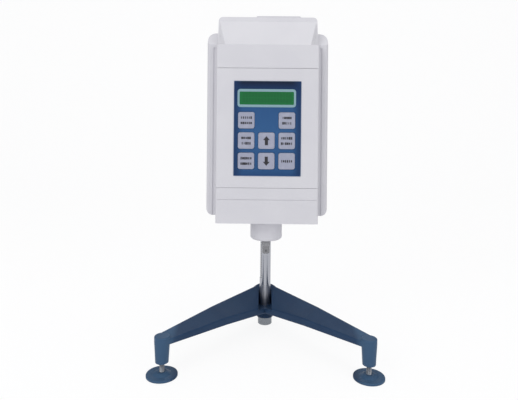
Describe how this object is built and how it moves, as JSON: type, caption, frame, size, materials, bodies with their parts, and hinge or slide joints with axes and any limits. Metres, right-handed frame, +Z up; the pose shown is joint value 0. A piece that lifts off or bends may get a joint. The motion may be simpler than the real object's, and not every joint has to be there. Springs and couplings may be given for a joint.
{
  "type": "rotational viscometer",
  "caption": "Benchtop rotational viscometer: upright head with display and keypad, geared to a rack column on a V base with levelling feet, spindle coupling below.",
  "frame": {"origin": "on the table, at the column's axis, centre of the rear foot's lower face", "axes": "+Z up along the column, -Y the way the panel faces, +X to the right of somebody reading the display"},
  "size_m": [0.279, 0.2105, 0.429],
  "materials": {
    "navy_paint": "satin enamel",
    "column_steel": "polished, rack teeth dark between",
    "turned_steel": "turned",
    "zinc_steel": "zinc plated",
    "black_plastic": "fine grain",
    "housing_grey": "moulded, fine grain",
    "cover_grey": "moulded, fine grain",
    "keypad_blue": "membrane",
    "key_grey": "membrane",
    "bezel_pale": "satin",
    "display_green": "clear cover over a green cell",
    "circuit_board": "solder mask",
    "brass": "machined",
    "sheet_aluminium": "satin",
    "motor_black": "satin black",
    "vial_glass": "clear, tinted liquid"
  },
  "bodies": {
    "base": {"base_casting": "navy_paint", "rear_foot_nut": "turned_steel", "column": "column_steel", "column_cap": "black_plastic"},
    "left_pad": {"foot_pad_left": "navy_paint"},
    "left_screw": {"level_screw_left": "zinc_steel"},
    "right_pad": {"foot_pad_right": "navy_paint"},
    "right_screw": {"level_screw_right": "zinc_steel"},
    "carriage": {"lift_block": "navy_paint", "pinion_bushes": "brass"},
    "lift_drive": {"pinion_shaft": "turned_steel", "lift_knob": "black_plastic"},
    "column_lock_screw": {"column_lock_stem": "zinc_steel"},
    "column_lock_grip": {"column_lock_knob": "black_plastic"},
    "rod_clamp_screw": {"rod_clamp_stem": "zinc_steel"},
    "rod_clamp_grip": {"rod_clamp_knob": "black_plastic"},
    "head": {"mount_rod": "turned_steel", "mount_rod_nut": "zinc_steel", "rear_housing": "housing_grey", "top_cover": "cover_grey", "front_panel": "cover_grey", "lower_cover": "cover_grey", "housing_screws": "zinc_steel", "keypad_overlay": "keypad_blue", "dome_switches": "turned_steel", "lcd_bezel": "bezel_pale", "lcd_window": "display_green", "lcd_module": "circuit_board", "main_board": "circuit_board", "board_standoffs": "brass", "chassis_plate": "sheet_aluminium", "chassis_pillars": "sheet_aluminium", "support_plate": "sheet_aluminium", "motor_body": "motor_black", "drive_bush": "brass", "pivot_bearing": "turned_steel", "opto_sensors": "black_plastic", "pivot_housing": "housing_grey", "power_inlet": "black_plastic", "switch_body": "black_plastic", "fuse_cap": "black_plastic", "serial_port": "turned_steel", "level_bezel": "housing_grey", "level_vial": "vial_glass"},
    "motor_rotor": {"motor_pinion": "brass"},
    "drive": {"drive_gear": "brass", "upper_disc": "sheet_aluminium", "torsion_spring": "turned_steel"},
    "pivot": {"pivot_shaft": "turned_steel", "lower_disc": "sheet_aluminium", "spindle_coupling": "turned_steel"},
    "rocker": {"power_rocker": "black_plastic"},
    "key_row1_left_body": {"key_row1_left": "key_grey"},
    "key_row1_right_body": {"key_row1_right": "key_grey"},
    "key_row2_left_body": {"key_row2_left": "key_grey"},
    "key_row2_middle_body": {"key_row2_middle": "key_grey"},
    "key_row2_right_body": {"key_row2_right": "key_grey"},
    "key_row3_left_body": {"key_row3_left": "key_grey"},
    "key_row3_middle_body": {"key_row3_middle": "key_grey"},
    "key_row3_right_body": {"key_row3_right": "key_grey"}
  },
  "joints": [
    {"name": "left_foot_travel", "type": "slide", "parent": "base", "child": "left_pad", "axis": [0, 0, 1], "range_m": [-0.004, 0.004]},
    {"name": "left_foot_turn", "type": "hinge", "parent": "left_pad", "child": "left_screw", "pos_m": [-0.121, -0.15, 0.01], "axis": [0, 0, 1], "range_deg": [-1450, 1450]},
    {"name": "right_foot_travel", "type": "slide", "parent": "base", "child": "right_pad", "axis": [0, 0, 1], "range_m": [-0.004, 0.004]},
    {"name": "right_foot_turn", "type": "hinge", "parent": "right_pad", "child": "right_screw", "pos_m": [0.121, -0.15, 0.01], "axis": [0, 0, 1], "range_deg": [-1450, 1450]},
    {"name": "head_lift", "type": "slide", "parent": "base", "child": "carriage", "axis": [0, 0, 1], "range_m": [-0.085, 0.09]},
    {"name": "lift_knob_turn", "type": "hinge", "parent": "carriage", "child": "lift_drive", "pos_m": [-0.0152, 0, 0.278], "axis": [0, 1, 0], "range_deg": [-551, 583]},
    {"name": "column_lock_travel", "type": "slide", "parent": "carriage", "child": "column_lock_screw", "axis": [1, 0, 0], "range_m": [0, 0.002]},
    {"name": "column_lock_turn", "type": "hinge", "parent": "column_lock_screw", "child": "column_lock_grip", "pos_m": [0.032, 0, 0.292], "axis": [1, 0, 0], "range_deg": [-10, 730]},
    {"name": "rod_clamp_travel", "type": "slide", "parent": "carriage", "child": "rod_clamp_screw", "axis": [1, 0, 0], "range_m": [0, 0.002]},
    {"name": "rod_clamp_turn", "type": "hinge", "parent": "rod_clamp_screw", "child": "rod_clamp_grip", "pos_m": [0.032, -0.01625, 0.266], "axis": [1, 0, 0], "range_deg": [-10, 730]},
    {"name": "head_tilt", "type": "hinge", "parent": "carriage", "child": "head", "pos_m": [0, -0.01625, 0.266], "axis": [0, 1, 0], "range_deg": [-8, 8]},
    {"name": "drive_turn", "type": "hinge", "parent": "head", "child": "drive", "pos_m": [0, -0.095, 0.256], "axis": [0, 0, 1], "continuous": true},
    {"name": "motor_turn", "type": "hinge", "parent": "head", "child": "motor_rotor", "pos_m": [0.024, -0.077, 0.256], "axis": [0, 0, 1], "continuous": true},
    {"name": "spring_deflection", "type": "hinge", "parent": "drive", "child": "pivot", "pos_m": [0, -0.095, 0.228], "axis": [0, 0, 1], "range_deg": [0, 80], "stiffness_Nm_per_rad": 0.000515},
    {"name": "key_row1_left_press", "type": "slide", "parent": "head", "child": "key_row1_left_body", "axis": [0, 1, 0], "range_m": [0, 0.0005], "stiffness_N_per_m": 4000},
    {"name": "key_row1_right_press", "type": "slide", "parent": "head", "child": "key_row1_right_body", "axis": [0, 1, 0], "range_m": [0, 0.0005], "stiffness_N_per_m": 4000},
    {"name": "key_row2_left_press", "type": "slide", "parent": "head", "child": "key_row2_left_body", "axis": [0, 1, 0], "range_m": [0, 0.0005], "stiffness_N_per_m": 4000},
    {"name": "key_row2_middle_press", "type": "slide", "parent": "head", "child": "key_row2_middle_body", "axis": [0, 1, 0], "range_m": [0, 0.0005], "stiffness_N_per_m": 4000},
    {"name": "key_row2_right_press", "type": "slide", "parent": "head", "child": "key_row2_right_body", "axis": [0, 1, 0], "range_m": [0, 0.0005], "stiffness_N_per_m": 4000},
    {"name": "key_row3_left_press", "type": "slide", "parent": "head", "child": "key_row3_left_body", "axis": [0, 1, 0], "range_m": [0, 0.0005], "stiffness_N_per_m": 4000},
    {"name": "key_row3_middle_press", "type": "slide", "parent": "head", "child": "key_row3_middle_body", "axis": [0, 1, 0], "range_m": [0, 0.0005], "stiffness_N_per_m": 4000},
    {"name": "key_row3_right_press", "type": "slide", "parent": "head", "child": "key_row3_right_body", "axis": [0, 1, 0], "range_m": [0, 0.0005], "stiffness_N_per_m": 4000},
    {"name": "power_rocker_tip", "type": "hinge", "parent": "head", "child": "rocker", "pos_m": [0.008, -0.035, 0.207], "axis": [-1, 0, 0], "range_deg": [0, 12]}
  ],
  "couplings": [
    {"joint": "left_foot_turn", "follows": "left_foot_travel", "rad_per_m": 6283.2},
    {"joint": "right_foot_turn", "follows": "right_foot_travel", "rad_per_m": 6283.2},
    {"joint": "lift_knob_turn", "follows": "head_lift", "rad_per_m": 111.11},
    {"joint": "column_lock_turn", "follows": "column_lock_travel", "rad_per_m": 6283.2},
    {"joint": "rod_clamp_turn", "follows": "rod_clamp_travel", "rad_per_m": 6283.2},
    {"joint": "motor_turn", "follows": "drive_turn", "ratio": -4}
  ]
}
